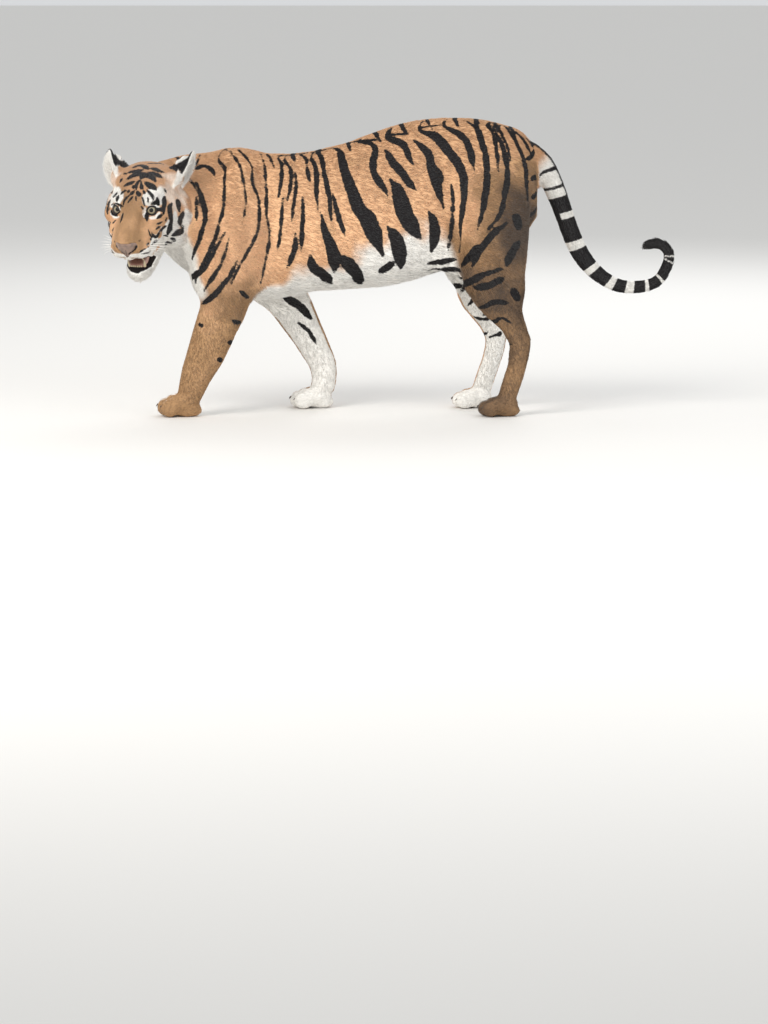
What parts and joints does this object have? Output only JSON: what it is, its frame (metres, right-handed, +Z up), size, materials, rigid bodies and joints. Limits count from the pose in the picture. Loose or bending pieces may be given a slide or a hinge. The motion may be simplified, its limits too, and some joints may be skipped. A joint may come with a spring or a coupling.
{
  "type": "bengal tiger",
  "caption": "Still, life-size model of a Bengal tigress in mid-stride, head turned to her left, mouth a little open and tail tip curled up.",
  "frame": {"origin": "on the floor, under the middle of the whole figure's bounding box", "axes": "+Z up; +X towards the tail, so the tigress walks towards -X; -Y is her left side, which faces the picture's camera"},
  "size_m": [1.8973, 0.5473, 0.9839],
  "materials": {
    "orange_coat": "short matt fur, orange with black stripes",
    "pale_coat": "matt fur, cream to white",
    "brown_coat": "matt fur, brown and striped, a little muddy",
    "ear_coat": "matt fur, black behind with a white spot, white within",
    "eye": "wet and clear, pale amber iris with a round pupil",
    "nose_leather": "damp, pink-brown",
    "tongue": "wet"
  },
  "bodies": {
    "root": {"head": "orange_coat", "neck": "orange_coat", "chest": "orange_coat", "hindquarters": "orange_coat", "upper_arm_left": "orange_coat", "upper_arm_right": "orange_coat", "forearm_left": "orange_coat", "forearm_right": "orange_coat", "forepaw_left": "pale_coat", "forepaw_right": "pale_coat", "thigh_left": "brown_coat", "thigh_right": "brown_coat", "shank_left": "brown_coat", "shank_right": "brown_coat", "metatarsus_left": "pale_coat", "metatarsus_right": "pale_coat", "hindpaw_left": "pale_coat", "hindpaw_right": "pale_coat", "tail_1": "pale_coat", "tail_2": "pale_coat", "tail_3": "pale_coat", "tail_4": "pale_coat", "tail_5": "pale_coat", "tail_6": "pale_coat", "lower_jaw": "pale_coat", "ear_left": "ear_coat", "ear_right": "ear_coat", "eye_left": "eye", "eye_right": "eye", "nose": "nose_leather", "tongue": "tongue"}
  },
  "joints": []
}
